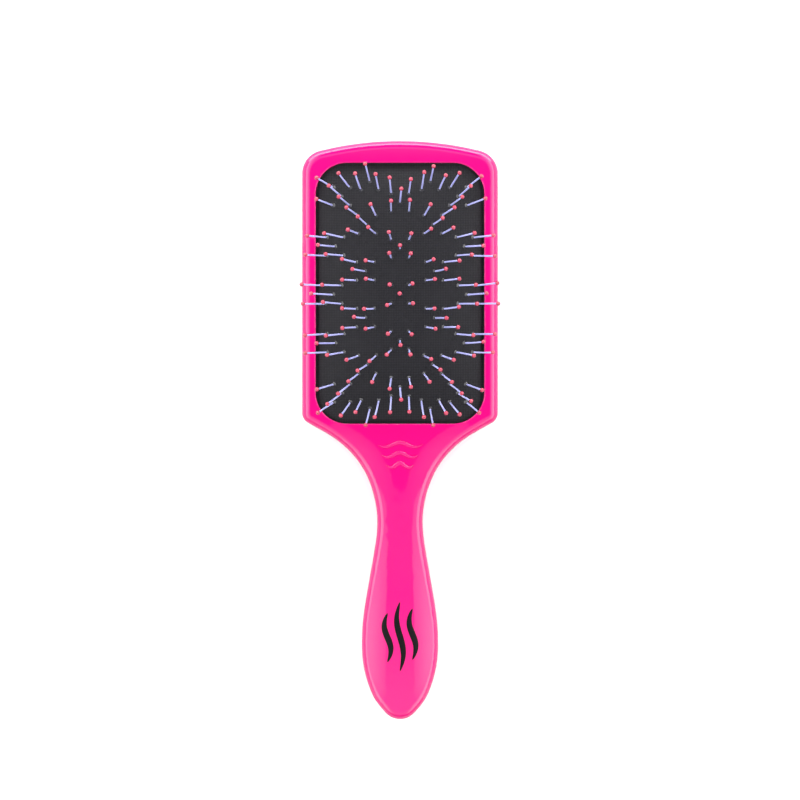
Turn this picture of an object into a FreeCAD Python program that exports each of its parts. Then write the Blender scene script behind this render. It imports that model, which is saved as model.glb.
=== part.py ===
import FreeCAD, Part
import math
import os

# A paddle hair brush, lying on its back. Millimetres.
# X runs across the brush, +Y from the handle to the top of the head, +Z from the back to the bristles.
# The origin is on the resting surface, under the middle of the whole brush.
# Plan coordinates in this file count from the middle of the cushion, and place() moves them to the origin.

# Body outline
HEAD_HALF_WIDTH = 44.0
HEAD_TOP = 68.5
HANDLE_END = -191.6
TOP_RADIUS = 150.0
TOP_CORNER_RADIUS = 10.5
LOW_CORNER_RADIUS = 5.0
LOW_CORNER_Y = -53.8
NECK_SLOPE = 30.0
HANDLE_END_RADIUS = 8.8
HANDLE_END_TURN = 48.0
# Right edge of the neck and handle, from the head's lower corner to the rounded end
NECK_AND_HANDLE_EDGE = [
    (31.1, -64.1), (24.1, -69.5), (16.8, -78.5), (12.2, -89.3), (10.25, -103.7),
    (12.0, -118.1), (14.5, -132.5), (16.7, -146.9), (17.2, -156.0), (16.3, -168.5),
    (13.0, -179.3)]

# Body thickness
PARTING_Z = 6.5
HEAD_FRONT_Z = 15.0
FRONT_DROP = 1.6
FRONT_DROP_END_Y = -140.0
FRONT_END_DROP = 2.5
BACK_NECK_RISE = 1.5
BACK_END_RISE = 2.5
NECK_START_Y = -62.0
NECK_Y = -102.0
GRIP_Y = -150.0
FRONT_CROWN_NECK = 1.54 / 10.25 ** 2
FRONT_CROWN_GRIP = 3.6 / 17.2 ** 2
BACK_CROWN_NECK = 2.0 / 10.25 ** 2
BACK_CROWN_GRIP = 3.2 / 17.2 ** 2
BACK_TRIM = 0.05
EDGE_RADIUS = 3.7
RIM_EDGE_LEAST_HEIGHT = 1.0
WALL = 2.5

# Cushion and its opening
OPENING_HALF_X = 37.8
OPENING_HALF_Y = 58.5
OPENING_RADIUS = 14.0
OPENING_EDGE_RADIUS = 0.5
CUSHION_GAP = 1.0
CUSHION_DEPTH = 2.3
CUSHION_EDGE_Z = HEAD_FRONT_Z - CUSHION_DEPTH
CUSHION_RISE = 9.5
CUSHION_THICKNESS = 1.8
DOME_HALF_X = 37.6
DOME_HALF_Y = 58.3
DOME_POWER_X = 2.1
DOME_POWER_Y = 2.6
DOME_STEPS_X = 8
DOME_STEPS_Y = 12
FLANGE_THICKNESS = 1.5
FLANGE_REACH = 3.0
FLANGE_CLEARANCE = 0.1
CUSHION_RIM = 2.0
COLLAR_RADIUS = 1.7
COLLAR_TOP_RADIUS = 0.6
COLLAR_HEIGHT = 0.8
COLLAR_ROOT = 0.6
CLAMP_WALL_IN = 0.6
CLAMP_WALL_OUT = 2.2

# Bristle pins and their ball tips
PIN_RADIUS = 0.375
PIN_LENGTH = 18.5
PIN_HOLE_CLEARANCE = 0.05
PIN_HEAD_RADIUS = 1.0
PIN_HEAD_HEIGHT = 0.6
PIN_HEAD_GAP = 0.35
TIP_RADIUS = 0.95
TIP_SEAT = 0.2
# How fast the pins lean outwards with their distance from the middle of the cushion
LEAN_X = 0.0178
LEAN_X_FADE_Y = 60.0
LEAN_X_SIDE_KEEP = 0.55
LEAN_Y = 0.0036
LEAN_Y_END = 2.0e-6
LEAN_SIDE_X = 31.0

# Pin clusters: columns from left to right, and the rows of each column from the top down
CLUSTER_HALF_X = 4.0
OUTER_CLUSTER_HALF_X = 3.75
CLUSTER_HALF_Y = 4.1
COLUMN_BOW = 0.16
COLUMN_BOW_Y = 50.0
TRIPLE_APEX = 3.7
COLUMNS = [
    ("far_left", -30.1, [43.5, 20.9, -0.7, -22.4, -45.0]),
    ("left", -15.9, [46.7, 30.7, 9.7, -11.2, -32.2, -48.2]),
    ("middle", 0.0, [40.8, 19.9, -0.7, -21.4, -42.3]),
    ("right", 15.9, [46.7, 30.7, 9.7, -11.2, -32.2, -48.2]),
    ("far_right", 30.1, [43.5, 20.9, -0.7, -22.4, -45.0])]

# Locating posts of the back shell, and their sockets in the front shell
POST_PLACES = [(-18.0, 63.7), (18.0, 63.7), (0.0, -72.0), (0.0, -122.0), (0.0, -168.0)]
POST_RADIUS = 1.5
POST_TOP_Z = 9.5
SOCKET_CLEARANCE = 0.05
SOCKET_WALL = 1.1
RIB_PLACES = [-88.0, -105.0, -138.0, -153.0]
RIB_THICKNESS = 1.2
RIB_TOP_Z = 5.5

CENTRE_Y = -(HEAD_TOP + HANDLE_END) / 2
FAR = 60.0
ROW_STEP = 9.0


def place(shape):
    """Move a shape from cushion coordinates to the origin under the middle of the brush."""
    shape.translate(FreeCAD.Vector(0, CENTRE_Y, 0))
    return shape


def ease(y, start, end):
    """0 before start, 1 after end, with a smooth ramp between."""
    t = min(max((y - start) / (end - start), 0.0), 1.0)
    return t * t * (3 - 2 * t)


# ---------------------------------------------------------------- body outline

def arc(centre, radius, start, end):
    """An arc edge about a plan point, from one angle to another in degrees, turning clockwise."""
    circle = Part.Circle(FreeCAD.Vector(*centre, 0), FreeCAD.Vector(0, 0, 1), radius)
    return circle.trim(math.radians(end), math.radians(start)).toShape()


def edge_curve(inset):
    """The neck and handle's right edge, moved inwards by inset."""
    slope = math.radians(NECK_SLOPE)
    start = FreeCAD.Vector(
        HEAD_HALF_WIDTH - LOW_CORNER_RADIUS + LOW_CORNER_RADIUS * math.sin(slope),
        LOW_CORNER_Y - LOW_CORNER_RADIUS * math.cos(slope), 0)
    turn = math.radians(HANDLE_END_TURN)
    end = FreeCAD.Vector(
        HANDLE_END_RADIUS * math.sin(turn), HANDLE_END + HANDLE_END_RADIUS * (1 - math.cos(turn)), 0)
    points = [start] + [FreeCAD.Vector(x, y, 0) for x, y in NECK_AND_HANDLE_EDGE] + [end]
    tangents = [FreeCAD.Vector(-math.cos(angle), -math.sin(angle), 0) for angle in (slope, turn)]
    curve = Part.BSplineCurve()
    curve.interpolate(Points=points, InitialTangent=tangents[0], FinalTangent=tangents[1])
    if inset == 0:
        return curve
    moved = []
    for point in points:
        along = curve.tangent(curve.parameter(point))[0]
        moved.append(point + FreeCAD.Vector(along.y, -along.x, 0) * inset)
    inner = Part.BSplineCurve()
    inner.interpolate(Points=moved, InitialTangent=tangents[0], FinalTangent=tangents[1])
    return inner


def body_face(inset=0.0):
    """The plan of the whole brush, moved inwards by inset."""
    corner_x = HEAD_HALF_WIDTH - TOP_CORNER_RADIUS
    reach = TOP_RADIUS - TOP_CORNER_RADIUS
    top_centre_y = HEAD_TOP - TOP_RADIUS
    corner_y = top_centre_y + math.sqrt(reach ** 2 - corner_x ** 2)
    turn = math.degrees(math.acos(corner_x / reach))
    side = HEAD_HALF_WIDTH - inset
    low_centre = (HEAD_HALF_WIDTH - LOW_CORNER_RADIUS, LOW_CORNER_Y)
    right = [
        arc((0, top_centre_y), TOP_RADIUS - inset, 90, turn),
        arc((corner_x, corner_y), TOP_CORNER_RADIUS - inset, turn, 0),
        Part.makeLine(FreeCAD.Vector(side, corner_y, 0), FreeCAD.Vector(side, LOW_CORNER_Y, 0)),
        arc(low_centre, LOW_CORNER_RADIUS - inset, 0, NECK_SLOPE - 90),
        edge_curve(inset).toShape(),
        arc((0, HANDLE_END + HANDLE_END_RADIUS), HANDLE_END_RADIUS - inset, HANDLE_END_TURN - 90, -90)]
    left = [edge.mirror(FreeCAD.Vector(0, 0, 0), FreeCAD.Vector(1, 0, 0)) for edge in right]
    return Part.Face(Part.Wire(Part.__sortEdges__(right + left)))


def opening_face(outset):
    """The plan of the cushion's opening, a rounded rectangle, moved outwards by outset."""
    half_x = OPENING_HALF_X + outset
    half_y = OPENING_HALF_Y + outset
    radius = OPENING_RADIUS + outset
    straight_x = half_x - radius
    straight_y = half_y - radius
    corners = [(1, 1, 90, 0), (1, -1, 0, -90), (-1, -1, -90, -180), (-1, 1, -180, -270)]
    edges = []
    for side_x, side_y, start, end in corners:
        edges.append(arc((side_x * straight_x, side_y * straight_y), radius, start, end))
    for side in (1, -1):
        x = side * half_x
        y = side * half_y
        edges.append(Part.makeLine(FreeCAD.Vector(x, straight_y, 0), FreeCAD.Vector(x, -straight_y, 0)))
        edges.append(Part.makeLine(FreeCAD.Vector(straight_x, y, 0), FreeCAD.Vector(-straight_x, y, 0)))
    return Part.Face(Part.Wire(Part.__sortEdges__(edges)))


def prism(face, low, high):
    """A plan face as a solid between two heights."""
    solid = face.extrude(FreeCAD.Vector(0, 0, high - low))
    solid.translate(FreeCAD.Vector(0, 0, low))
    return solid


# ------------------------------------------------------- crowned faces of the body

def front_ridge(y):
    """Height of the front face along the middle of the brush."""
    end = max(0.0, (FRONT_DROP_END_Y - y) / (FRONT_DROP_END_Y - HANDLE_END))
    return HEAD_FRONT_Z - FRONT_DROP * ease(y, NECK_START_Y, FRONT_DROP_END_Y) - FRONT_END_DROP * end ** 2


def back_ridge(y):
    """Height of the back face along the middle of the brush."""
    end = max(0.0, (GRIP_Y - y) / (GRIP_Y - HANDLE_END))
    bow = ease(y, NECK_START_Y, NECK_Y) - ease(y, NECK_Y, GRIP_Y)
    return -BACK_TRIM * (1 - ease(y, NECK_START_Y, NECK_Y)) + BACK_NECK_RISE * bow + BACK_END_RISE * end ** 2


def crown(y, neck, grip):
    """How fast a face falls away from the middle: height lost per square millimetre of X."""
    return neck * ease(y, NECK_START_Y, NECK_Y) + (grip - neck) * ease(y, NECK_Y, GRIP_Y)


def grid_surface(rows, degree_u, degree_v):
    """A smooth surface over a grid of control points."""
    counts = [len(rows), len(rows[0])]
    mults = []
    for count, degree in zip(counts, (degree_u, degree_v)):
        mults.append([degree + 1] + [1] * (count - degree - 1) + [degree + 1])
    knots = [[float(i) for i in range(len(m))] for m in mults]
    surface = Part.BSplineSurface()
    surface.buildFromPolesMultsKnots(
        rows, mults[0], mults[1], knots[0], knots[1], False, False, degree_u, degree_v)
    return surface.toShape()


def crowned_face(ridge, falls, lift):
    """A face that follows ridge along Y and falls by falls(y) times X squared, moved up by lift."""
    rows = []
    count = int((HEAD_TOP - HANDLE_END + 2 * FAR) / ROW_STEP)
    for step in range(count + 1):
        y = HEAD_TOP + FAR - step * ROW_STEP
        middle = ridge(y) + lift
        edge_fall = falls(y) * FAR ** 2
        rows.append([
            FreeCAD.Vector(-FAR, y, middle - edge_fall),
            FreeCAD.Vector(0, y, middle + edge_fall),
            FreeCAD.Vector(FAR, y, middle - edge_fall)])
    return grid_surface(rows, 3, 2)


def front_face(lift=0.0):
    """The front of the body, moved up by lift."""
    return crowned_face(front_ridge, lambda y: crown(y, FRONT_CROWN_NECK, FRONT_CROWN_GRIP), lift)


def back_face(lift=0.0):
    """The back of the body, moved up by lift."""
    return crowned_face(back_ridge, lambda y: -crown(y, BACK_CROWN_NECK, BACK_CROWN_GRIP), lift)


def front_block(inset, lift):
    """The body's front half as a block inside the outline, from the parting plane up to the front face."""
    return prism(body_face(inset), PARTING_Z, PARTING_Z + FAR).common(
        front_face(lift).extrude(FreeCAD.Vector(0, 0, -4 * FAR)))


def back_block(inset, lift):
    """The body's back half as a block inside the outline, from the back face up to the parting plane."""
    return prism(body_face(inset), PARTING_Z - FAR, PARTING_Z).common(
        back_face(lift).extrude(FreeCAD.Vector(0, 0, 4 * FAR)))


def rounded(solid, radius, wanted):
    """Round the edges that wanted picks."""
    edges = [edge for edge in solid.Edges if wanted(edge)]
    return solid.makeFillet(radius, edges)


def rim_edges(solid):
    """A test for the edges of solid that run round its crowned face, away from the parting plane."""
    def wanted(edge):
        heights = [vertex.Z for vertex in edge.Vertexes]
        middle = edge.valueAt((edge.FirstParameter + edge.LastParameter) / 2).z
        return min(abs(height - PARTING_Z) for height in heights + [middle]) > RIM_EDGE_LEAST_HEIGHT
    return wanted


# ------------------------------------------------------------------ cushion dome

def dome(x, y):
    """Height of the cushion's upper face."""
    across = 1 - abs(x / DOME_HALF_X) ** DOME_POWER_X
    along = 1 - abs(y / DOME_HALF_Y) ** DOME_POWER_Y
    return CUSHION_EDGE_Z + CUSHION_RISE * across * along


def under_dome(drop):
    """Everything below the cushion's upper face, moved down by drop."""
    step_x = DOME_HALF_X / DOME_STEPS_X
    step_y = DOME_HALF_Y / DOME_STEPS_Y
    rows = []
    for i in range(-DOME_STEPS_X - 1, DOME_STEPS_X + 2):
        rows.append([FreeCAD.Vector(i * step_x, j * step_y, dome(i * step_x, j * step_y) - drop)
                     for j in range(-DOME_STEPS_Y - 1, DOME_STEPS_Y + 2)])
    return grid_surface(rows, 3, 3).extrude(FreeCAD.Vector(0, 0, -FAR))


# -------------------------------------------------------------------- bristle pins

def clusters():
    """Each cluster's name and the plan points of its pins."""
    found = []
    for column, column_x, rows in COLUMNS:
        half_x = OUTER_CLUSTER_HALF_X if column.startswith("far") else CLUSTER_HALF_X
        for number, y in enumerate(rows, start=1):
            x = column_x * (1 - COLUMN_BOW * (y / COLUMN_BOW_Y) ** 2)
            if column in ("left", "right") and number in (1, len(rows)):
                apex = y + math.copysign(TRIPLE_APEX, y)
                points = [(x - half_x, y), (x + half_x, y), (x, apex)]
            else:
                points = [(x, y)]
                points += [(x + i * half_x, y + j * CLUSTER_HALF_Y) for i in (-1, 1) for j in (-1, 1)]
            found.append((f"{column}_{number}", points))
    return found


def pin_direction(x, y):
    """Unit vector along the pin that stands at a plan point."""
    outer = (x / LEAN_SIDE_X) ** 2
    lean_x = LEAN_X * x * (1 - (y / LEAN_X_FADE_Y) ** 2 * (1 - LEAN_X_SIDE_KEEP * outer))
    lean_y = y * (LEAN_Y * (1 - outer) + LEAN_Y_END * y * y)
    return FreeCAD.Vector(lean_x, lean_y, 1).normalize()


def cylinder_along(x, y, radius, start, end):
    """A cylinder along the pin at a plan point, between two distances from the cushion's face."""
    along = pin_direction(x, y)
    base = FreeCAD.Vector(x, y, dome(x, y)) + along * start
    return Part.makeCylinder(radius, end - start, base, along)


def pin(x, y):
    """A pin with its flat head under the cushion."""
    head_top = -CUSHION_THICKNESS - PIN_HEAD_GAP
    shaft = cylinder_along(x, y, PIN_RADIUS, head_top - PIN_HEAD_HEIGHT / 2, PIN_LENGTH - TIP_SEAT)
    head = cylinder_along(x, y, PIN_HEAD_RADIUS, head_top - PIN_HEAD_HEIGHT, head_top)
    return shaft.fuse(head).removeSplitter()


def collar(x, y):
    """The cone of rubber that stands up round a pin."""
    along = pin_direction(x, y)
    base = FreeCAD.Vector(x, y, dome(x, y)) - along * COLLAR_ROOT
    flare = (COLLAR_RADIUS - COLLAR_TOP_RADIUS) / COLLAR_HEIGHT
    return Part.makeCone(COLLAR_RADIUS + flare * COLLAR_ROOT, COLLAR_TOP_RADIUS, COLLAR_ROOT + COLLAR_HEIGHT,
                         base, along)


def tip(x, y):
    """The ball on a pin's end, with the seat that the pin fills."""
    along = pin_direction(x, y)
    centre = FreeCAD.Vector(x, y, dome(x, y)) + along * PIN_LENGTH
    ball = Part.makeSphere(TIP_RADIUS, centre, along)
    return ball.cut(cylinder_along(x, y, PIN_RADIUS, PIN_LENGTH - 2 * TIP_RADIUS, PIN_LENGTH - TIP_SEAT))


# ------------------------------------------------------------------------ nodes

def upright(x, y, radius, low, high):
    """A cylinder along Z."""
    return Part.makeCylinder(radius, high - low, FreeCAD.Vector(x, y, low))


def front_shell():
    """The front half of the body: frame, neck and handle front, hollow, with the sockets inside."""
    block = front_block(0, 0)
    shell = rounded(block, EDGE_RADIUS, rim_edges(block))
    shell = shell.cut(prism(opening_face(0), PARTING_Z, FAR))
    shell = rounded(shell, OPENING_EDGE_RADIUS, opening_edges)
    shell = shell.cut(front_block(WALL, -WALL))
    ceiling = front_block(WALL / 2, -WALL / 2)
    for x, y in POST_PLACES:
        outer = POST_RADIUS + SOCKET_CLEARANCE + SOCKET_WALL
        shell = shell.fuse(upright(x, y, outer, PARTING_Z, FAR).common(ceiling))
    for x, y in POST_PLACES:
        shell = shell.cut(upright(x, y, POST_RADIUS + SOCKET_CLEARANCE, 0, POST_TOP_Z + WALL / 4))
    return shell.cut(prism(opening_face(FLANGE_REACH + FLANGE_CLEARANCE), PARTING_Z, CUSHION_EDGE_Z))


def opening_edges(edge):
    """The edges round the front of the cushion's opening."""
    inside = all(abs(v.X) < OPENING_HALF_X + 0.1 and abs(v.Y) < OPENING_HALF_Y + 0.1 for v in edge.Vertexes)
    return inside and all(abs(v.Z - HEAD_FRONT_Z) < OPENING_EDGE_RADIUS / 2 for v in edge.Vertexes)


def back_shell():
    """The back half of the body: hollow, with the clamp wall, the locating posts and the handle's ribs."""
    block = back_block(0, 0)
    shell = rounded(block, EDGE_RADIUS, rim_edges(block))
    shell = shell.cut(Part.makeBox(4 * FAR, 8 * FAR, FAR, FreeCAD.Vector(-2 * FAR, -4 * FAR, -FAR)))
    shell = shell.cut(back_block(WALL, WALL))
    floor = Part.makeBox(4 * FAR, 8 * FAR, 2 * FAR, FreeCAD.Vector(-2 * FAR, -4 * FAR, WALL / 2))
    clamp_top = CUSHION_EDGE_Z - FLANGE_THICKNESS
    clamp = prism(opening_face(CLAMP_WALL_OUT), WALL / 2, clamp_top)
    shell = shell.fuse(clamp.cut(prism(opening_face(CLAMP_WALL_IN), 0, FAR)))
    for x, y in POST_PLACES:
        base = back_ridge(y) + WALL / 2
        shell = shell.fuse(upright(x, y, POST_RADIUS, base, POST_TOP_Z))
    inside = back_block(WALL / 2, WALL / 2).common(floor)
    for y in RIB_PLACES:
        slab = Part.makeBox(2 * FAR, RIB_THICKNESS, RIB_TOP_Z, FreeCAD.Vector(-FAR, y - RIB_THICKNESS / 2, 0))
        shell = shell.fuse(slab.common(inside))
    return shell.removeSplitter()


def cushion_pad():
    """The domed rubber cushion: its face, the flange that the shells clamp, the collars and the pin holes."""
    flange_low = CUSHION_EDGE_Z - FLANGE_THICKNESS
    pad = prism(opening_face(-CUSHION_GAP), flange_low, FAR).common(under_dome(0))
    pad = pad.fuse(prism(opening_face(FLANGE_REACH), flange_low, CUSHION_EDGE_Z))
    hollow = prism(opening_face(-CUSHION_RIM), 0, FAR).common(under_dome(CUSHION_THICKNESS))
    pad = pad.cut(hollow)
    spots = [spot for name, points in clusters() for spot in points]
    pad = pad.fuse([collar(x, y) for x, y in spots])
    radius = PIN_RADIUS + PIN_HOLE_CLEARANCE
    holes = [cylinder_along(x, y, radius, -2 * CUSHION_THICKNESS, 2 * CUSHION_THICKNESS) for x, y in spots]
    return pad.cut(Part.makeCompound(holes))


def write(name, shape):
    """Write one node's STEP file, at its place in the whole brush."""
    place(shape).exportStep(os.path.join("parts", name + ".step"))


os.makedirs("parts", exist_ok=True)
write("front_shell", front_shell())
write("back_shell", back_shell())
write("cushion_pad", cushion_pad())
for cluster, places in clusters():
    write("pins_" + cluster, Part.makeCompound([pin(x, y) for x, y in places]))
    write("tips_" + cluster, Part.makeCompound([tip(x, y) for x, y in places]))
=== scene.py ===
import math
import random

import bmesh
import bpy
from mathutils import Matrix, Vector


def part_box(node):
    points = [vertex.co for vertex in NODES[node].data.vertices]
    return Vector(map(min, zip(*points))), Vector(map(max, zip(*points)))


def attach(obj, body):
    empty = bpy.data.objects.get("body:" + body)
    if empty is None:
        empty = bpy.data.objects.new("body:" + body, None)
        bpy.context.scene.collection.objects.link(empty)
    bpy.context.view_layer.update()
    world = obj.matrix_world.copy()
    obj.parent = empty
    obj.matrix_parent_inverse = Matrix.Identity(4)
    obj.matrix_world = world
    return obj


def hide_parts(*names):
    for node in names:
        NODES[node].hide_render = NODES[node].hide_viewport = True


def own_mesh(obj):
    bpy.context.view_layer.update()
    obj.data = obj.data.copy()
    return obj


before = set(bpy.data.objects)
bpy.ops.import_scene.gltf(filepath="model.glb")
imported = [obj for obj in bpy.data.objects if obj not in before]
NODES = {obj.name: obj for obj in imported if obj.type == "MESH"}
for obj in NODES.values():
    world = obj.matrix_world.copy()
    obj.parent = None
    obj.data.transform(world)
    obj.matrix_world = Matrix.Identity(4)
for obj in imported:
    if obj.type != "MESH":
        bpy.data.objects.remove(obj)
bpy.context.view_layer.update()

# A paddle hair brush, lying on its back. Lengths are in millimetres where a name or comment doesn't say
# metres, and plan places count from the middle of the cushion. Meshes, lights and the camera are placed in
# metres.
MM = 0.001

# The cushion and its opening
OPENING_HALF = (37.8, 58.5)
OPENING_RADIUS = 14.0
CUSHION_GAP = 1.0
CUSHION_EDGE_Z = 12.7
CUSHION_RISE = 9.5
CUSHION_THICKNESS = 1.8
CUSHION_RIM = 2.0
DOME_HALF = (37.6, 58.3)
DOME_POWERS = (2.1, 2.6)
FLANGE_REACH = 3.0
FLANGE_LOW_Z = 11.2
CUSHION_COLUMNS = 96
CUSHION_ROWS = 144
# The cone of rubber round a pin: distances along the pin from the cushion's face, and radii
COLLAR = [(-0.5, 1.5), (-0.05, 1.10), (0.3, 0.82), (0.6, 0.60), (0.7, 0.54), (0.74, 0.48), (0.72, 0.4)]
COLLAR_SEGMENTS = 16

# The welded seam between the shells, drawn as a thin line of painted shade on the pink: its height, and the
# distances in metres over which the painted shade fades
PARTING_Z = 6.5
SEAM_SHADE_FADE = (0.00005, 0.00015)

# Bristle pins. The head's profile is distances along the pin from the cushion's face, and radii.
PIN_RADIUS = 0.375
PIN_FREE_LENGTH = 18.5
PIN_HEAD = [(-2.75, 0.85), (-2.68, 1.0), (-2.22, 1.0), (-2.15, 0.85), (-2.15, PIN_RADIUS)]
PIN_HEAD_DEPTH = 0.02
PIN_STEPS = 8
PIN_SEGMENTS = 12
PIN_END_IN_TIP = 0.2
# How far a pin's end bows aside at most, and the spread of its lean as a slope
PIN_BEND = 0.45
PIN_STRAY = 0.020
STRAY_SEED = 11

# Ball tips: radius, how far the neck runs down the pin, and the angles of the ball's rings from its far end
TIP_RADIUS = 0.95
TIP_NECK = 1.3
TIP_NECK_RADIUS = PIN_RADIUS * 1.03
TIP_RING_ANGLES = (150, 135, 120, 105, 90, 75, 60, 45, 30, 15, 5)
TIP_SEGMENTS = 18

# Decorations. A stroke's cross section is places across it and heights, as shares of its half width and rise.
STROKE_SECTION = [(-1.0, -0.3), (-0.8, 0.6), (-0.4, 0.93), (0.0, 1.0), (0.4, 0.93), (0.8, 0.6), (1.0, -0.3)]
STROKE_TAPER = 0.6
STROKE_END_WIDTH = 0.06
# Printed waves: place across the handle, start above the foot, and length
PRINT_WAVES = [(-5.6, 4.0, 22.0), (0.0, 0.0, 31.0), (5.6, 5.0, 23.0)]
PRINT_FOOT = 22.0
# Raised waves: place along the neck, and half length
EMBOSS_WAVES = [(-68.0, 10.0), (-72.6, 8.2), (-77.2, 6.0)]

# Pairs of colours that each material mixes, and the range of its roughness
PINK_TINTS = (0.405, 0.0010, 0.099), (0.42, 0.0014, 0.105)
PINK_ROUGHNESS = (0.03, 0.05)
# Painted shade for the weld between the shells: the pink, darkened
SEAM_SHADE_COLOR = (0.06, 0.0004, 0.014)
RUBBER_TINTS = (0.0022, 0.0021, 0.0032), (0.0115, 0.0108, 0.0145)
RUBBER_ROUGHNESS = (0.42, 0.58)
DOT_PITCH = 1.5
COLLAR_TINTS = (0.012, 0.012, 0.014), (0.018, 0.018, 0.021)
COLLAR_ROUGHNESS = (0.2, 0.26)
NYLON_TINTS = (0.30, 0.31, 0.62), (0.40, 0.41, 0.70)
NYLON_ROUGHNESS = (0.22, 0.4)
CORAL_TINTS = (0.26, 0.018, 0.043), (0.32, 0.027, 0.056)
CORAL_ROUGHNESS = (0.1, 0.2)
INK_TINTS = (0.0025, 0.0022, 0.0025), (0.005, 0.0042, 0.0048)
INK_ROUGHNESS = (0.3, 0.42)
FLOOR_TINTS = (0.65, 0.65, 0.65), (0.67, 0.67, 0.67)

# Studio, in metres. Each soft box's radiance runs across it through pairs of a share of its width and a
# value.
FLOOR_HALF = 12.0
OVERHEAD_Z = 1.2
NEAR_X, FAR_X = 0.39, 2.85
SIDE_HALF_Y = 2.0
HANDLE_SIDE_Y, HEAD_SIDE_Y = -0.118, 0.181
GAP_X = 0.14
SIDE_RADIANCE = [(0.0, 1.7), (0.07, 2.5), (0.12, 3.2), (0.25, 4.6), (0.42, 6.0), (0.7, 6.4), (1.0, 4.5)]
NEAR_RADIANCE = [(0.0, 0.40), (0.025, 0.62), (0.06, 0.85), (0.12, 1.3), (0.2, 1.6), (1.0, 1.8)]
HEAD_RADIANCE = [(0.0, 0.3), (0.01, 0.75), (0.05, 1.0), (1.0, 1.3)]
GAP_RADIANCE = [(0.0, 0.55), (1.0, 0.6)]
BACK_RADIANCE = [(0.0, 10.0), (1.0, 10.0)]
WALL_RADIANCE = [(0.0, 1.0), (1.0, 1.0)]
# The surround's radiance near the horizon and high up, the sines of the heights between which it fades, and
# the distances over which the floor takes up the horizon's radiance
SURROUND_LOW = 0.85
SURROUND_HIGH = 0.1
FADE_RISE = (0.17, 0.34)
GLOW_FROM = (1.8, 3.6)

# Camera: focal length and sensor in millimetres, then metres
LENS = 230.0
SENSOR = 36.0
VIEW_WIDTH = 0.36
OUTLINE_HEIGHT = 0.0075
AIM_BEHIND_CUSHION = 0.0479
VIEW_LIMIT = 50.0

pad_low, pad_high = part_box("cushion_pad")
PAD_MIDDLE = ((pad_low.x + pad_high.x) / 2, (pad_low.y + pad_high.y) / 2)


# ------------------------------------------------------------------ mesh helpers

def make_object(name, verts, faces, materials, crease=35.0, second_from=None):
    """A smooth-shaded mesh object from points in metres, with edges over crease degrees left sharp.

    Faces from the number second_from on take the second material."""
    mesh = bpy.data.meshes.new(name)
    mesh.from_pydata(verts, [], faces)
    work = bmesh.new()
    work.from_mesh(mesh)
    bmesh.ops.recalc_face_normals(work, faces=work.faces)
    work.to_mesh(mesh)
    work.free()
    mesh.polygons.foreach_set("use_smooth", [True] * len(mesh.polygons))
    mesh.set_sharp_from_angle(angle=math.radians(crease))
    for used in materials:
        mesh.materials.append(used)
    if second_from is not None:
        for face in mesh.polygons[second_from:]:
            face.material_index = 1
    piece = bpy.data.objects.new(name, mesh)
    bpy.context.scene.collection.objects.link(piece)
    return piece


def side_axes(along):
    """Two unit vectors square to a direction and to each other."""
    across = along.cross(Vector((0, 1, 0))).normalized()
    return across, along.cross(across)


def rings(centres, radii, along, segments, verts, faces):
    """Adds a closed tube with a ring of points at each centre to verts and faces."""
    across, up = side_axes(along)
    first = len(verts)
    for centre, radius in zip(centres, radii):
        for k in range(segments):
            angle = 2 * math.pi * k / segments
            verts.append(centre + (across * math.cos(angle) + up * math.sin(angle)) * radius)
    for row in range(len(centres) - 1):
        for k in range(segments):
            a = first + row * segments + k
            b = first + row * segments + (k + 1) % segments
            faces.append((a, b, b + segments, a + segments))
    faces.append(tuple(first + k for k in range(segments)))
    last = first + (len(centres) - 1) * segments
    faces.append(tuple(last + k for k in range(segments)))


def loose_parts(node):
    """The points of each separate solid of a CAD node."""
    mesh = NODES[node].data
    owner = list(range(len(mesh.vertices)))
    places = {}
    for v in mesh.vertices:
        key = tuple(round(c, 7) for c in v.co)
        owner[v.index] = places.setdefault(key, v.index)

    def root(i):
        while owner[i] != i:
            owner[i] = owner[owner[i]]
            i = owner[i]
        return i

    for edge in mesh.edges:
        a, b = root(edge.vertices[0]), root(edge.vertices[1])
        if a != b:
            owner[b] = a
    parts = {}
    for v in mesh.vertices:
        parts.setdefault(root(v.index), []).append(v.co.copy())
    return list(parts.values())


def middle(points):
    """Centre of the points' box."""
    return Vector([(min(p[i] for p in points) + max(p[i] for p in points)) / 2 for i in range(3)])


# --------------------------------------------------------------------- materials

def material(name, ior):
    """A principled material, its nodes and links, and its shader."""
    made = bpy.data.materials.new(name)
    made.use_nodes = True
    shader = made.node_tree.nodes["Principled BSDF"]
    shader.inputs["IOR"].default_value = ior
    return made, made.node_tree.nodes, made.node_tree.links, shader


def noise(nodes, links, scale, detail=2.0):
    """A noise texture in the object's own coordinates."""
    place = nodes.new("ShaderNodeTexCoord")
    texture = nodes.new("ShaderNodeTexNoise")
    texture.inputs["Scale"].default_value = scale
    texture.inputs["Detail"].default_value = detail
    links.new(place.outputs["Object"], texture.inputs["Vector"])
    return texture.outputs["Fac"]


def own_place(nodes, links):
    """The X, Y and Z outputs of the object's own coordinates."""
    place = nodes.new("ShaderNodeTexCoord")
    split = nodes.new("ShaderNodeSeparateXYZ")
    links.new(place.outputs["Object"], split.inputs["Vector"])
    return split.outputs


def calculate(nodes, links, operation, *sources):
    """The output of a math node fed with numbers or with other nodes' outputs."""
    node = nodes.new("ShaderNodeMath")
    node.operation = operation
    for socket, source in zip(node.inputs, sources):
        if isinstance(source, (int, float)):
            socket.default_value = source
        else:
            links.new(source, socket)
    return node.outputs["Value"]


def ramp(nodes, links, source, to_range, from_range=(0.0, 1.0)):
    """A map of a value from one range onto another, held at the ends."""
    node = nodes.new("ShaderNodeMapRange")
    node.inputs["From Min"].default_value, node.inputs["From Max"].default_value = from_range
    node.inputs["To Min"].default_value, node.inputs["To Max"].default_value = to_range
    links.new(source, node.inputs["Value"])
    return node.outputs["Result"]


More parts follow.
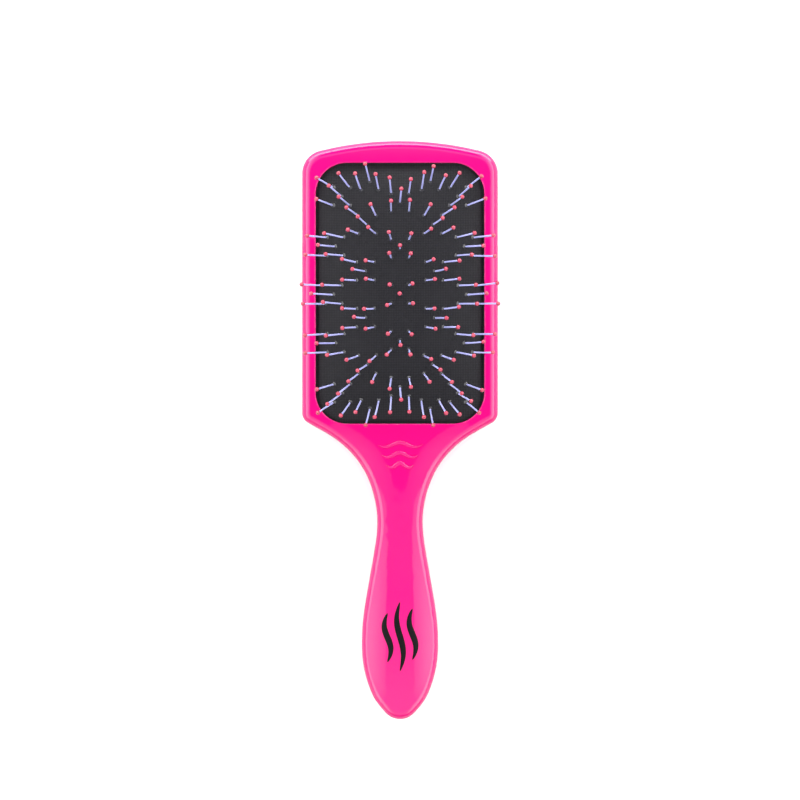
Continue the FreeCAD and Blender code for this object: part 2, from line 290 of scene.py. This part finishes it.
def two_colors(nodes, links, factor, first, second):
    """A mix of two colours by a 0 to 1 value."""
    node = nodes.new("ShaderNodeMix")
    node.data_type = "RGBA"
    links.new(factor, node.inputs["Factor"])
    node.inputs["A"].default_value = (*first, 1)
    node.inputs["B"].default_value = (*second, 1)
    return node.outputs["Result"]


def bump(nodes, links, height, shader, strength, distance):
    """A bump from a height value to the shader's normal."""
    node = nodes.new("ShaderNodeBump")
    node.inputs["Strength"].default_value = strength
    node.inputs["Distance"].default_value = distance
    links.new(height, node.inputs["Height"])
    links.new(node.outputs["Normal"], shader.inputs["Normal"])


def mottled(name, tints, roughness, ior, grain_scale):
    """A material whose colour and roughness both follow one fine noise."""
    made, nodes, links, shader = material(name, ior)
    grain = noise(nodes, links, grain_scale)
    links.new(two_colors(nodes, links, grain, *tints), shader.inputs["Base Color"])
    links.new(ramp(nodes, links, grain, roughness), shader.inputs["Roughness"])
    return made


def glossy_pink():
    """Polished magenta plastic: a faint flow in the colour, a very slight waviness, and painted shade along
    the weld's line.
    """
    made, nodes, links, shader = material("glossy_pink_plastic", 1.47)
    flow = noise(nodes, links, 22.0, 3.0)
    tint = two_colors(nodes, links, flow, *PINK_TINTS)
    above_seam = calculate(nodes, links, "SUBTRACT", own_place(nodes, links)["Z"], PARTING_Z * MM)
    off_seam = calculate(nodes, links, "ABSOLUTE", above_seam)
    # Painted shade: at the weld's height the pink gives way to a darker copy of itself, in a thin line
    seam_shaded = nodes.new("ShaderNodeMix")
    seam_shaded.data_type = "RGBA"
    links.new(ramp(nodes, links, off_seam, (0.0, 1.0), SEAM_SHADE_FADE), seam_shaded.inputs["Factor"])
    seam_shaded.inputs["A"].default_value = (*SEAM_SHADE_COLOR, 1)
    links.new(tint, seam_shaded.inputs["B"])
    links.new(seam_shaded.outputs["Result"], shader.inputs["Base Color"])
    wear = noise(nodes, links, 160.0, 4.0)
    links.new(ramp(nodes, links, wear, PINK_ROUGHNESS), shader.inputs["Roughness"])
    bump(nodes, links, noise(nodes, links, 60.0, 1.0), shader, 0.015, 0.0002)
    return made


def dotted_rubber():
    """Near-black rubber, moulded with a fine grid of raised dots set in staggered rows."""
    made, nodes, links, shader = material("dotted_black_rubber", 1.24)
    place = own_place(nodes, links)
    waves = []
    for sign in (1, -1):
        slanted = calculate(nodes, links, "MULTIPLY_ADD", place["Y"], sign, place["X"])
        turned = calculate(nodes, links, "MULTIPLY", slanted, 2 * math.pi / (DOT_PITCH * MM))
        waves.append(calculate(nodes, links, "SINE", turned))
    dots = calculate(nodes, links, "MULTIPLY", *waves)
    lift = ramp(nodes, links, dots, (0.0, 1.0), (-0.2, 1.0))
    links.new(two_colors(nodes, links, lift, *RUBBER_TINTS), shader.inputs["Base Color"])
    dust = noise(nodes, links, 90.0, 3.0)
    links.new(ramp(nodes, links, dust, RUBBER_ROUGHNESS), shader.inputs["Roughness"])
    bump(nodes, links, lift, shader, 0.8, 0.00015)
    return made


PINK = glossy_pink()
RUBBER = dotted_rubber()
COLLAR_RUBBER = mottled("smooth_black_rubber", COLLAR_TINTS, COLLAR_ROUGHNESS, 1.5, 400.0)
NYLON = mottled("lavender_nylon", NYLON_TINTS, NYLON_ROUGHNESS, 1.5, 500.0)
CORAL = mottled("coral_resin", CORAL_TINTS, CORAL_ROUGHNESS, 1.5, 300.0)
INK = mottled("black_ink", INK_TINTS, INK_ROUGHNESS, 1.16, 700.0)


# ------------------------------------------------------------------------- body

def finish_shell(node):
    """The CAD shell keeps its shape and gets the pink plastic."""
    shell = NODES[node]
    shell.data.materials.clear()
    shell.data.materials.append(PINK)


# ---------------------------------------------------------------------- cushion

def dome(x, y):
    """Height of the cushion's face."""
    across = 1 - abs(x / DOME_HALF[0]) ** DOME_POWERS[0]
    along = 1 - abs(y / DOME_HALF[1]) ** DOME_POWERS[1]
    return CUSHION_EDGE_Z + CUSHION_RISE * across * along


def in_frame(x, y, z):
    """A point given in millimetres from the cushion's middle, in metres in the row frame."""
    return Vector((x * MM + PAD_MIDDLE[0], y * MM + PAD_MIDDLE[1], z * MM))


def opening_grid(outset):
    """Plan points that fill the opening moved outwards by outset: rows of points from side to side."""
    half_x = OPENING_HALF[0] + outset
    half_y = OPENING_HALF[1] + outset
    radius = OPENING_RADIUS + outset
    grid = []
    for j in range(CUSHION_ROWS + 1):
        y = half_y * math.sin(math.pi / 2 * (2 * j / CUSHION_ROWS - 1))
        over = max(0.0, abs(y) - (half_y - radius))
        width = half_x - radius + math.sqrt(max(0.0, radius ** 2 - over ** 2))
        grid.append([(width * (2 * i / CUSHION_COLUMNS - 1), y) for i in range(CUSHION_COLUMNS + 1)])
    return grid


def grid_border():
    """Indices round the edge of the opening's grid of points, in order."""
    wide = CUSHION_COLUMNS + 1
    bottom = list(range(CUSHION_COLUMNS))
    right = [j * wide + CUSHION_COLUMNS for j in range(CUSHION_ROWS)]
    top = [CUSHION_ROWS * wide + i for i in range(CUSHION_COLUMNS, 0, -1)]
    left = [j * wide for j in range(CUSHION_ROWS, 0, -1)]
    return bottom + right + top + left


def cushion(pins):
    """The domed rubber cushion with its flange, and a cone of rubber round each pin."""
    verts, faces = [], []
    wide = CUSHION_COLUMNS + 1
    border = grid_border()

    def add_grid(outset, drop):
        start = len(verts)
        for row in opening_grid(outset):
            verts.extend(in_frame(x, y, dome(x, y) - drop) for x, y in row)
        for j in range(CUSHION_ROWS):
            for i in range(CUSHION_COLUMNS):
                a = start + j * wide + i
                faces.append((a, a + 1, a + wide + 1, a + wide))
        return [start + k for k in border]

    def add_loop(outset, z):
        start = len(verts)
        flat = [point for row in opening_grid(outset) for point in row]
        verts.extend(in_frame(*flat[k], z) for k in border)
        return list(range(start, start + len(border)))

    loops = [
        add_grid(-CUSHION_GAP, 0.0),
        add_loop(-CUSHION_GAP, CUSHION_EDGE_Z),
        add_loop(FLANGE_REACH, CUSHION_EDGE_Z),
        add_loop(FLANGE_REACH, FLANGE_LOW_Z),
        add_loop(-CUSHION_RIM, FLANGE_LOW_Z),
        add_grid(-CUSHION_RIM, CUSHION_THICKNESS)]
    for first, second in zip(loops, loops[1:]):
        for k in range(len(border)):
            n = (k + 1) % len(border)
            faces.append((first[k], first[n], second[n], second[k]))
    sheet_faces = len(faces)
    for pin in pins:
        centres = [pin["surface"] + pin["along"] * (s * MM) for s, r in COLLAR]
        rings(centres, [r * MM for s, r in COLLAR], pin["along"], COLLAR_SEGMENTS, verts, faces)
    pad = make_object(
        "rubber_cushion", verts, faces, [RUBBER, COLLAR_RUBBER], crease=50.0, second_from=sheet_faces)
    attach(pad, "body")
    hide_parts("cushion_pad")
    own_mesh(pad)


# ----------------------------------------------------------------- pins and tips

def find_pins():
    """Every pin: its cluster, its ball's centre, its direction and where it meets the cushion."""
    found = []
    for node in sorted(NODES):
        if not node.startswith("pins_"):
            continue
        cluster = node[len("pins_"):]
        balls = [middle(points) for points in loose_parts("tips_" + cluster)]
        for points in loose_parts(node):
            ball = min(balls, key=lambda b: min((p - b).length for p in points))
            reach = max((p - ball).length for p in points)
            head = middle([p for p in points if (p - ball).length > reach - PIN_HEAD_DEPTH * MM])
            along = (ball - head).normalized()
            found.append({"cluster": cluster, "ball": ball, "along": along,
                          "surface": ball - along * (PIN_FREE_LENGTH * MM)})
    return sorted(found, key=lambda pin: (pin["cluster"], round(pin["surface"].y, 5),
                                          round(pin["surface"].x, 5)))


def stray(pin, chance):
    """Gives a pin the small lean and bend of its own that a real bristle has."""
    across, up = side_axes(pin["along"])
    lean = across * chance.gauss(0, PIN_STRAY) + up * chance.gauss(0, PIN_STRAY)
    pin["line"] = (pin["along"] + lean).normalized()
    turn = chance.uniform(0, 2 * math.pi)
    pin["bend"] = (across * math.cos(turn) + up * math.sin(turn)) * chance.uniform(0, PIN_BEND * MM)


def on_pin(pin, s):
    """The point at a distance along the bent pin from the cushion."""
    share = max(0.0, s / PIN_FREE_LENGTH)
    return pin["surface"] + pin["line"] * (s * MM) + pin["bend"] * share ** 2


def pin_group(cluster, members):
    """The cluster's pins, each with its flat head under the cushion."""
    verts, faces = [], []
    for pin in members:
        steps = [(PIN_FREE_LENGTH - PIN_END_IN_TIP) * k / PIN_STEPS for k in range(PIN_STEPS + 1)]
        places = [s for s, r in PIN_HEAD] + steps
        radii = [r * MM for s, r in PIN_HEAD] + [PIN_RADIUS * MM] * len(steps)
        rings([on_pin(pin, s) for s in places], radii, pin["line"], PIN_SEGMENTS, verts, faces)
    piece = make_object("nylon_pins_" + cluster, verts, faces, [NYLON])
    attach(piece, "tuft_" + cluster)
    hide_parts("pins_" + cluster)


def tip_group(cluster, members):
    """The cluster's ball tips: dipped beads with a short neck down the pin."""
    profile = [(-TIP_NECK, TIP_NECK_RADIUS)]
    for degrees in TIP_RING_ANGLES:
        angle = math.radians(degrees)
        profile.append((TIP_RADIUS * math.cos(angle), TIP_RADIUS * math.sin(angle)))
    verts, faces = [], []
    for pin in members:
        end = on_pin(pin, PIN_FREE_LENGTH)
        along = (end - on_pin(pin, PIN_FREE_LENGTH - 1.0)).normalized()
        centres = [end + along * (s * MM) for s, r in profile]
        rings(centres, [r * MM for s, r in profile], along, TIP_SEGMENTS, verts, faces)
    piece = make_object("ball_tips_" + cluster, verts, faces, [CORAL], crease=60.0)
    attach(piece, "tuft_" + cluster)
    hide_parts("tips_" + cluster)


# ------------------------------------------------------- generic wave decorations

def front_face(x, y):
    """Where the body's front face lies at a plan place in metres, and its normal there."""
    hit = NODES["front_shell"].ray_cast(Vector((x, y, 0.1)), Vector((0, 0, -1)))
    return hit[1], hit[2]


def wave_stroke(start, end, swing, turns, half_width, lift, rise, steps, verts, faces):
    """A tapering wavy stroke laid on the front face, from start to end. All lengths are in metres.

    The stroke is a low rounded strip: its edges sink into the face and its middle stands proud by rise."""
    start, end = Vector(start), Vector(end)
    along = (end - start).normalized()
    across = Vector((along.y, -along.x))
    first = len(verts)
    for k in range(steps + 1):
        share = k / steps
        shift = swing * math.sin(2 * math.pi * turns * share)
        slope = swing * 2 * math.pi * turns * math.cos(2 * math.pi * turns * share) / (end - start).length
        point = start + (end - start) * share + across * shift
        normal = (across - along * slope).normalized()
        width = half_width * math.sin(math.pi * share) ** STROKE_TAPER + half_width * STROKE_END_WIDTH
        for side, height in STROKE_SECTION:
            flat = point + normal * (width * side)
            place, up = front_face(flat.x, flat.y)
            verts.append(place + up * (lift + rise * height))
    count = len(STROKE_SECTION)
    for k in range(steps):
        for i in range(count):
            a = first + k * count + i
            b = first + k * count + (i + 1) % count
            faces.append((a, b, b + count, a + count))
    faces.append(tuple(first + i for i in range(count)))
    faces.append(tuple(first + steps * count + i for i in range(count)))


def handle_print():
    """Three black tapering waves printed on the handle."""
    verts, faces = [], []
    low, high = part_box("front_shell")
    foot = low.y + PRINT_FOOT * MM
    for shift, start, length in PRINT_WAVES:
        wave_stroke((shift * MM, foot + start * MM), (shift * MM, foot + (start + length) * MM),
                    swing=1.5 * MM, turns=1.0, half_width=1.35 * MM, lift=0.015 * MM, rise=0.04 * MM,
                    steps=64, verts=verts, faces=faces)
    piece = make_object("wave_print", verts, faces, [INK], crease=80.0)
    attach(piece, "body")


def neck_emboss():
    """Three low raised waves moulded on the neck."""
    verts, faces = [], []
    for along_neck, half in EMBOSS_WAVES:
        y = PAD_MIDDLE[1] + along_neck * MM
        wave_stroke((-half * MM, y), (half * MM, y),
                    swing=1.0 * MM, turns=1.5, half_width=0.85 * MM, lift=0.0, rise=0.46 * MM,
                    steps=72, verts=verts, faces=faces)
    piece = make_object("wave_emboss", verts, faces, [PINK], crease=80.0)
    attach(piece, "body")


# ------------------------------------------------------------------ floor, light

def area_light(name, place, target, size, radiances):
    """A soft box seen in reflections but not by the camera.

    Its radiance runs smoothly across its width, from the side of its own -X, through the given values."""
    data = bpy.data.lights.new(name, "AREA")
    data.shape = "RECTANGLE"
    data.size, data.size_y = size
    data.energy = math.pi * size[0] * size[1]
    data.use_nodes = True
    nodes, links = data.node_tree.nodes, data.node_tree.links
    where = nodes.new("ShaderNodeNewGeometry")
    split = nodes.new("ShaderNodeSeparateXYZ")
    links.new(where.outputs["Parametric"], split.inputs["Vector"])
    curve = nodes.new("ShaderNodeFloatCurve")
    points = curve.mapping.curves[0].points
    top = max(value for share, value in radiances)
    points[0].location = (radiances[0][0], radiances[0][1] / top)
    points[1].location = (radiances[-1][0], radiances[-1][1] / top)
    for share, value in radiances[1:-1]:
        points.new(share, value / top)
    for point in points:
        point.handle_type = "VECTOR"
    curve.mapping.update()
    links.new(split.outputs["X"], curve.inputs["Value"])
    strength = calculate(nodes, links, "MULTIPLY", curve.outputs["Value"], top)
    links.new(strength, nodes["Emission"].inputs["Strength"])
    light = bpy.data.objects.new(name, data)
    light.location = place
    light.rotation_euler = (Vector(target) - Vector(place)).to_track_quat("-Z", "Y").to_euler()
    light.visible_camera = False
    bpy.context.scene.collection.objects.link(light)
    return light


def overhead(name, x_range, y_range, radiances, turn):
    """A level soft box above the brush whose radiance runs along the direction turned from +X."""
    wide, deep = x_range[1] - x_range[0], y_range[1] - y_range[0]
    size = (deep, wide) if turn in (90, -90) else (wide, deep)
    centre = ((x_range[0] + x_range[1]) / 2, (y_range[0] + y_range[1]) / 2, OVERHEAD_Z)
    light = area_light(name, centre, (centre[0], centre[1], 0), size, radiances)
    light.rotation_euler = (0, 0, math.radians(turn))


def white_floor():
    """A plain white floor that glows far out, so that it meets the surround without a dark band."""
    mesh = bpy.data.meshes.new("floor")
    half = FLOOR_HALF
    corners = [(-half, -half, 0), (half, -half, 0), (half, half, 0), (-half, half, 0)]
    mesh.from_pydata(corners, [], [(0, 1, 2, 3)])
    made, nodes, links, shader = material("white_floor", 1.2)
    shader.inputs["Roughness"].default_value = 0.9
    grain = noise(nodes, links, 8.0)
    links.new(two_colors(nodes, links, grain, *FLOOR_TINTS), shader.inputs["Base Color"])
    place = nodes.new("ShaderNodeTexCoord")
    away = nodes.new("ShaderNodeVectorMath")
    away.operation = "LENGTH"
    links.new(place.outputs["Object"], away.inputs[0])
    shader.inputs["Emission Color"].default_value = (1, 1, 1, 1)
    glow = ramp(nodes, links, away.outputs["Value"], (0.0, SURROUND_LOW), GLOW_FROM)
    links.new(glow, shader.inputs["Emission Strength"])
    mesh.materials.append(made)
    floor = bpy.data.objects.new("floor", mesh)
    bpy.context.scene.collection.objects.link(floor)
    floor.visible_diffuse = False


def soft_boxes():
    """Bright panels to both sides, dimmer ones beyond the handle and the head, and an opening overhead."""
    overhead("right_softbox", (NEAR_X, FAR_X), (-SIDE_HALF_Y, SIDE_HALF_Y), SIDE_RADIANCE, 0)
    overhead("left_softbox", (-FAR_X, -NEAR_X), (-SIDE_HALF_Y, SIDE_HALF_Y), SIDE_RADIANCE, 180)
    overhead("near_softbox", (-NEAR_X, NEAR_X), (-2.1, HANDLE_SIDE_Y), NEAR_RADIANCE, -90)
    overhead("far_softbox", (-NEAR_X, NEAR_X), (HEAD_SIDE_Y, 0.8), HEAD_RADIANCE, 90)
    overhead("left_gap_softbox", (-NEAR_X, -GAP_X), (HANDLE_SIDE_Y, HEAD_SIDE_Y), GAP_RADIANCE, 0)
    overhead("right_gap_softbox", (GAP_X, NEAR_X), (HANDLE_SIDE_Y, HEAD_SIDE_Y), GAP_RADIANCE, 0)
    area_light("back_softbox", (0, 1.0, 0.275), (0, 0, 0.275), (2.4, 0.43), BACK_RADIANCE)
    area_light("left_wall_softbox", (-3.0, 0, 0.6), (0, 0, 0.6), (4.0, 1.2), WALL_RADIANCE)
    area_light("right_wall_softbox", (3.0, 0, 0.6), (0, 0, 0.6), (4.0, 1.2), WALL_RADIANCE)


def surround():
    """A surround that is pale near the horizon and dim above."""
    world = bpy.data.worlds.new("surround")
    world.use_nodes = True
    nodes, links = world.node_tree.nodes, world.node_tree.links
    nodes["Background"].inputs["Color"].default_value = (1, 1, 1, 1)
    toward = nodes.new("ShaderNodeTexCoord")
    split = nodes.new("ShaderNodeSeparateXYZ")
    links.new(toward.outputs["Generated"], split.inputs["Vector"])
    fade = ramp(nodes, links, split.outputs["Z"], (SURROUND_LOW, SURROUND_HIGH), FADE_RISE)
    links.new(fade, nodes["Background"].inputs["Strength"])
    bpy.context.scene.world = world


def camera():
    """Straight above the brush, a long way off, and level with the middle of its length."""
    data = bpy.data.cameras.new("camera")
    data.lens = LENS
    data.sensor_width = SENSOR
    data.clip_end = VIEW_LIMIT
    seen = bpy.data.objects.new("camera", data)
    seen.location = (0, PAD_MIDDLE[1] - AIM_BEHIND_CUSHION, OUTLINE_HEIGHT + VIEW_WIDTH * LENS / SENSOR)
    bpy.context.scene.collection.objects.link(seen)
    bpy.context.scene.camera = seen


# ------------------------------------------------------------------------- build

pins = find_pins()
chance = random.Random(STRAY_SEED)
for pin in pins:
    stray(pin, chance)

finish_shell("front_shell")
finish_shell("back_shell")
cushion(pins)
for cluster in sorted({pin["cluster"] for pin in pins}):
    members = [pin for pin in pins if pin["cluster"] == cluster]
    pin_group(cluster, members)
    tip_group(cluster, members)
handle_print()
neck_emboss()

white_floor()
soft_boxes()
surround()
camera()
bpy.context.scene.view_settings.view_transform = "Standard"
